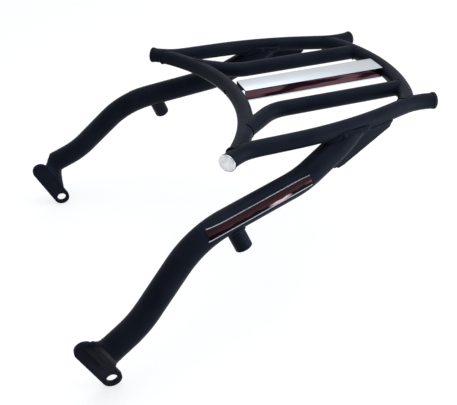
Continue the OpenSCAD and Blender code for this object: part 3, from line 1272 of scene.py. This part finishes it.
@dataclass
class TipBend:
    """The last sweep outward of a side rail's front end, in part millimetres on the left half."""

    side: Side
    tip: Point = (-138.1, -125.4, -6.8)
    outward: Point = (-22.0, -7.8, 0.0)
    length: float = 22.0
    longer: float = 1.17
    turn: float = 20.0
    slice: float = 1.8
    first_cut: float = 0.3
    reach_share: float = 1.6

    def stance(self) -> tuple[Vector, Vector, Vector]:
        """Where and how the bend begins.

        Returns:
            Its start, its first direction and the way it turns.
        """
        ahead = Vector(self.outward).normalized()
        aside = Vector((0.0, 0.0, 1.0)).cross(ahead)
        return Vector(self.tip) - ahead * self.length, ahead, aside

    def move(self, point: Vector) -> Vector:
        """Carries a point of the straight tip to where the bend takes it.

        Args:
            point: a point of the left side, in metres.

        Returns:
            Its new place.
        """
        start, ahead, aside = self.stance()
        offset = point / MM - start
        along = offset.dot(ahead)
        beside = offset.dot(aside)
        if along <= 0.0 or offset.length > self.length * self.reach_share:
            return point
        bend = math.radians(self.turn) / (self.length * self.longer)
        angle = bend * along * (1.0 + (self.longer - 1.0) * along / self.length)
        radius = 1.0 / bend - beside
        flat = start + ahead * (radius * math.sin(angle)) + aside * (1.0 / bend - radius * math.cos(angle))
        flat.z = point.z / MM
        return flat * MM

    def end(self) -> tuple[Vector, Vector]:
        """The end of the bent tip, for the cap.

        Returns:
            Its place in metres, and the way it faces.
        """
        _, ahead, aside = self.stance()
        angle = math.radians(self.turn)
        way = ahead * math.cos(angle) + aside * math.sin(angle)
        return self.side.flip(self.move(Vector(self.tip) * MM)), self.side.flip(way)

    def build(self) -> Object:
        """Shows the rail with its front end swept outward.

        Returns:
            The rail.
        """
        start, ahead, _ = self.stance()
        steps = [i * self.slice + self.first_cut for i in range(int(self.length / self.slice))]
        cuts = [(start + ahead * step) * MM for step in steps]
        return sweep_solid(f"{self.side.value}_side_rail", self.side, cuts, ahead, self.move)


@dataclass
class TurnedCap:
    """A cap with a coated rim and a bright turned face, in place of the plain solid.

    OUTLINE gives the rim's points, each as its depth inside the cap's edge and below its face.
    """

    COATED_RINGS = 2
    OUTLINE = (
        (0.9, 3.0),
        (0.0, 3.0),
        (0.0, 0.9),
        (0.12, 0.5),
        (0.5, 0.12),
        (0.9, 0.0),
        (1.35, 0.0),
        (1.5, 0.22),
        (1.75, 0.22),
        (1.9, 0.03),
    )
    node: str
    tip: Point
    outward: Point
    radius: float = 8.6
    flange: float = 3.0
    rings: int = 15
    groove: float = 0.09
    ridge: float = 0.03
    eye: float = 0.25
    around: int = 72

    def profile(self) -> list[tuple[float, float]]:
        """Radius and height of the cap's outline, from its back edge to its middle.

        Returns:
            The points, in mm.
        """
        rim = [(self.radius - inset, self.flange - depth) for inset, depth in self.OUTLINE]
        face_radius = rim[-1][0]
        pitch = face_radius / self.rings
        for i in range(self.rings):
            outer = face_radius - i * pitch
            rim.append((outer - pitch * 0.5, self.flange - self.groove))
            rim.append((max(outer - pitch, self.eye), self.flange - self.ridge))
        return rim

    def build(self) -> Object:
        """Turns the cap and sets it on the rail's tip.

        Returns:
            The cap.
        """
        out = Vector(self.outward).normalized()
        side = out.orthogonal().normalized()
        up = out.cross(side)
        vertices = []
        outline = self.profile()
        for radius, height in outline:
            for k in range(self.around):
                angle = math.tau * k / self.around
                spoke = side * math.cos(angle) + up * math.sin(angle)
                vertices.append(tuple(Vector(self.tip) + (spoke * radius + out * height) * MM))
        faces = ring_faces(len(outline), self.around, False)
        piece = add_piece(f"{self.node}_turned", vertices, faces, CAP_METAL, SHARP_ANGLE)
        piece.data.materials.append(POWDER_COAT.material())
        for i in range(self.around * self.COATED_RINGS):
            piece.data.polygons[i].material_index = 1
        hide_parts(self.node)
        return piece


class Welds:
    """All weld beads of the rack.

    SHARED gives each bead's part and base, its radius and its reach in mm. SWEPT names the solids that
    are shown swept, and take their beads along.
    """

    SWEPT = ("{side}_arm",)
    SHARED = (
        ("front_cross_tube", "{side}_side_rail", 1.2, 0.3),
        ("rear_cross_tube", "{side}_side_rail", 1.2, 0.3),
        ("{side}_inner_rail", "front_cross_tube", 1.2, 0.3),
        ("{side}_inner_rail", "rear_cross_tube", 1.2, 0.3),
        ("{side}_arm", "{side}_side_rail", 2.8, 3.5),
        ("{side}_gusset", "{side}_side_rail", 2.0, 0.3),
        ("{side}_gusset", "{side}_arm", 2.4, 0.3),
        ("{side}_stub_boss", "{side}_arm", 1.7, 0.3),
    )

    def build(self) -> None:
        """Lays every bead, on both sides."""
        for side in Side:
            for number, (part, base, radius, reach) in enumerate(self.SHARED):
                names = (part.format(side=side.value), base.format(side=side.value))
                bead = WeldBead(*names, radius * MM, reach * MM)
                if part in self.SWEPT or base in self.SWEPT:
                    bead.carry = ArmTop(side, ArmLine()).carry
                bead.build(seed=number)


class Rack:
    """The rack itself: tubes, plates, bar and trim."""

    TUBES = ("front_cross_tube", "rear_cross_tube")
    SIDE_TUBES = ("side_rail", "inner_rail", "arm", "arm_collar", "stub_boss")

    def build(self) -> None:
        """Dresses the solids and adds the trim."""
        for node in self.TUBES:
            paint(node, POWDER_COAT)
        RoundedPlate("centre_bar", BAR_METAL, 0.5 * MM, CAP_PLASTIC).build()
        for side in Side:
            self.build_side(side)

    def build_side(self, side: Side) -> None:
        """Dresses one half of the rack.

        Args:
            side: the half.
        """
        for part in self.SIDE_TUBES:
            paint(f"{side.value}_{part}", POWDER_COAT)
        for plate in ("lug_plate", "gusset"):
            RoundedPlate(f"{side.value}_{plate}", POWDER_COAT, 0.5 * MM).build()
        paint(f"{side.value}_bar_strip", MIRROR_FILM)
        paint(f"{side.value}_rear_cap", CAP_PLASTIC)
        bend = TipBend(side)
        bend.build()
        tip, way = bend.end()
        TurnedCap(f"{side.value}_front_cap", tuple(tip), tuple(way)).build()
        arm = ArmLine()
        field = LabelField(side, arm)
        field.build()
        LabelLine(side, arm, "upper", field.high, start=8.6, end=119.6, width=0.62, height=0.6).build()
        LabelLine(side, arm, "lower", field.low, start=5.6, end=119.2, width=0.95, height=0.7).build()
        LugSkirt(side, arm).build()
        ArmTop(side, arm).build()


@dataclass
class Studio:
    """Floor, lamps, world and camera."""

    floor_size: float = 12.0
    floor_gap: float = 0.5 * MM
    floor_grey: float = 0.42
    floor_glow: float = 0.70
    world_colour: Colour = (0.96, 0.98, 1.0)
    world_light: float = 0.32
    camera_place: Point = (-0.3073, -0.6259, 0.3078)
    camera_turn: tuple = (0.870946, 0.461515, -0.070147, -0.153415)
    lens: float = 54.70
    clip: Span = (0.01, 50.0)
    front_wall: tuple = ((-0.85, 0.42), (-0.35, 0.55), (0.0, 0.92), (1.0, 1.0))
    ceiling: tuple = ((-1.0, 1.0), (0.15, 1.0), (0.55, 0.72), (1.0, 0.40))
    lamp_colour: Colour = (0.84, 0.92, 1.0)
    lamps: tuple = (
        ("top_lamp", (0.1, -0.1, 1.5), 1.2, 13.0),
        ("right_lamp", (1.1, -0.5, 0.5), 0.8, 5.0),
        ("back_lamp", (0.3, 1.2, 1.5), 1.4, 7.0),
        ("side_lamp", (0.45, -0.50, -0.05), 0.36, 2.4),
    )

    def build(self) -> None:
        """Builds the whole studio."""
        self.build_world()
        self.build_floor()
        for name, place, size, power in self.lamps:
            self.build_lamp(name, place, size, power)
        self.build_camera()

    @staticmethod
    def seen_white(graph: Graph) -> Socket:
        """Tells the rays that are to see white from the rest.

        Args:
            graph: the nodes of the floor or the world.

        Returns:
            One for rays from the camera, and for rays that metal and glass send out.
        """
        path = graph.add("ShaderNodeLightPath")
        total = path.outputs["Is Camera Ray"]
        for name in ("Is Glossy Ray", "Is Transmission Ray"):
            total = graph.blend("MAXIMUM", total, path.outputs[name])
        return total

    def build_world(self) -> None:
        """A white surround to look at, and a plain soft light."""
        world = bpy.data.worlds.new("studio")
        bpy.context.scene.world = world
        graph = Graph(world)
        light = graph.add("ShaderNodeBackground")
        light.inputs["Color"].default_value = (*self.world_colour, 1.0)
        light.inputs["Strength"].default_value = self.world_light
        white = graph.add("ShaderNodeBackground")
        graph.join(self.room(graph), white.inputs["Color"])
        white.inputs["Strength"].default_value = 1.0
        mix = graph.add("ShaderNodeMixShader")
        output = graph.add("ShaderNodeOutputWorld")
        graph.join(self.seen_white(graph), mix.inputs["Fac"])
        graph.join(light.outputs[0], mix.inputs[1])
        graph.join(white.outputs[0], mix.inputs[2])
        graph.join(mix.outputs[0], output.inputs["Surface"])

    def room(self, graph: Graph) -> Socket:
        """What is to be seen all round: white to look at, and a darker room for metal to show.

        Args:
            graph: the world's nodes.

        Returns:
            The colour.
        """
        place = graph.add("ShaderNodeTexCoord")
        apart = graph.add("ShaderNodeSeparateXYZ")
        graph.join(place.outputs["Generated"], apart.inputs[0])
        room = graph.add("ShaderNodeMix")
        room.data_type = "RGBA"
        room.blend_type = "MULTIPLY"
        room.inputs["Factor"].default_value = 1.0
        graph.join(self.shade(graph, apart.outputs["Y"], self.front_wall), room.inputs["A"])
        graph.join(self.shade(graph, apart.outputs["Z"], self.ceiling), room.inputs["B"])
        seen = graph.add("ShaderNodeLightPath").outputs["Is Camera Ray"]
        return graph.mix(seen, room.outputs["Result"], WHITE)

    @staticmethod
    def shade(graph: Graph, value: Socket, stops: Sequence[Span]) -> Socket:
        """Turns a direction's share into a grey.

        Args:
            graph: the world's nodes.
            value: the share, from -1 to 1.
            stops: each a place from -1 to 1 and its grey.

        Returns:
            The grey.
        """
        share = graph.map_range(value, (-1.0, 1.0), (0.0, 1.0))
        return graph.ramp(share, [((at + 1.0) / 2.0, (grey, grey, grey)) for at, grey in stops])

    def build_floor(self) -> None:
        """A plain white floor that keeps a soft shadow."""
        half = self.floor_size / 2
        low = CAD_BOX[0].z - self.floor_gap
        mesh = bpy.data.meshes.new("floor")
        corners = [(-half, -half, low), (half, -half, low), (half, half, low), (-half, half, low)]
        mesh.from_pydata(corners, [], [(0, 1, 2, 3)])
        floor = bpy.data.objects.new("floor", mesh)
        bpy.context.scene.collection.objects.link(floor)
        material = bpy.data.materials.new("white_floor")
        mesh.materials.append(material)
        graph = Graph(material)
        paper = graph.add("ShaderNodeBsdfDiffuse")
        paper.inputs["Color"].default_value = (self.floor_grey, self.floor_grey, self.floor_grey, 1.0)
        glow = graph.add("ShaderNodeEmission")
        glow.inputs["Color"].default_value = (*WHITE, 1.0)
        strength = graph.blend("MULTIPLY", self.seen_white(graph), self.floor_glow)
        graph.join(strength, glow.inputs["Strength"])
        both = graph.add("ShaderNodeAddShader")
        output = graph.add("ShaderNodeOutputMaterial")
        graph.join(paper.outputs[0], both.inputs[0])
        graph.join(glow.outputs[0], both.inputs[1])
        graph.join(both.outputs[0], output.inputs["Surface"])

    def build_lamp(self, name: str, place: Point, size: float, power: float) -> None:
        """A square soft lamp aimed at the rack.

        Args:
            name: the lamp's name.
            place: where it hangs.
            size: its side, in metres.
            power: its power, in watts.
        """
        data = bpy.data.lights.new(name, "AREA")
        data.size = size
        data.energy = power
        data.color = self.lamp_colour
        lamp = bpy.data.objects.new(name, data)
        bpy.context.scene.collection.objects.link(lamp)
        lamp.visible_camera = False
        lamp.location = place
        target = (CAD_BOX[0] + CAD_BOX[1]) / 2
        lamp.rotation_mode = "QUATERNION"
        lamp.rotation_quaternion = (target - Vector(place)).to_track_quat("-Z", "Y")

    def build_camera(self) -> None:
        """The camera, where the photographer stood."""
        data = bpy.data.cameras.new("camera")
        data.sensor_width = 36.0
        data.lens = self.lens
        data.clip_start, data.clip_end = self.clip
        camera = bpy.data.objects.new("camera", data)
        bpy.context.scene.collection.objects.link(camera)
        camera.location = self.camera_place
        camera.rotation_mode = "QUATERNION"
        camera.rotation_quaternion = self.camera_turn
        bpy.context.scene.camera = camera


def main() -> None:
    """Builds the looks, part by part."""
    logging.basicConfig(level=logging.INFO, format="%(message)s")
    bpy.context.scene.view_settings.view_transform = "Standard"
    Rack().build()
    Welds().build()
    Studio().build()


if __name__ == "__main__":
    main()
